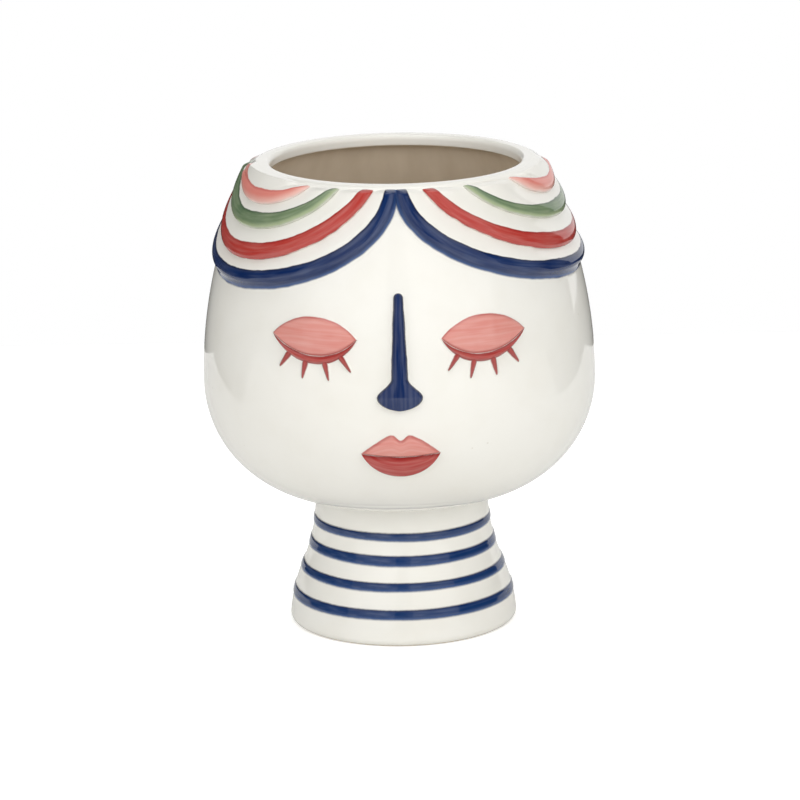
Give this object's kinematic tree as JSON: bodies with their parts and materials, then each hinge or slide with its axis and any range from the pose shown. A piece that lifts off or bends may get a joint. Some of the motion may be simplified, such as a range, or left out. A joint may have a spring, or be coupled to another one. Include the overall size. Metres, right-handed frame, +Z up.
{
  "type": "head planter",
  "caption": "Glazed ceramic planter shaped like a head on a flared hollow neck, with raised painted hair swags below the rim and a face in low relief.",
  "frame": {"origin": "middle of the foot ring, on the surface that the pot stands on", "axes": "+Z up along the axis of the turned bowl and neck, -Y the way the face looks"},
  "size_m": [0.18, 0.1827, 0.2165],
  "materials": {
    "white_glaze": "gloss",
    "pink_paint": "gloss",
    "green_paint": "gloss",
    "coral_paint": "gloss",
    "navy_paint": "gloss"
  },
  "bodies": {
    "root": {"head_bowl": "white_glaze", "neck_foot": "white_glaze", "neck_stripe_1": "navy_paint", "neck_stripe_2": "navy_paint", "neck_stripe_3": "navy_paint", "neck_stripe_4": "navy_paint", "hair_roll_pink_left": "pink_paint", "hair_roll_green_left": "green_paint", "hair_roll_coral_left": "coral_paint", "hair_roll_navy_left": "navy_paint", "hair_roll_pink_right": "pink_paint", "hair_roll_green_right": "green_paint", "hair_roll_coral_right": "coral_paint", "hair_roll_navy_right": "navy_paint", "hair_roll_pink_back": "pink_paint", "hair_roll_green_back": "green_paint", "hair_roll_coral_back": "coral_paint", "hair_roll_navy_back": "navy_paint", "eyelid_left": "pink_paint", "lashes_left": "coral_paint", "eyelid_right": "pink_paint", "lashes_right": "coral_paint", "nose": "navy_paint", "upper_lip": "pink_paint", "lower_lip": "coral_paint"}
  },
  "joints": []
}
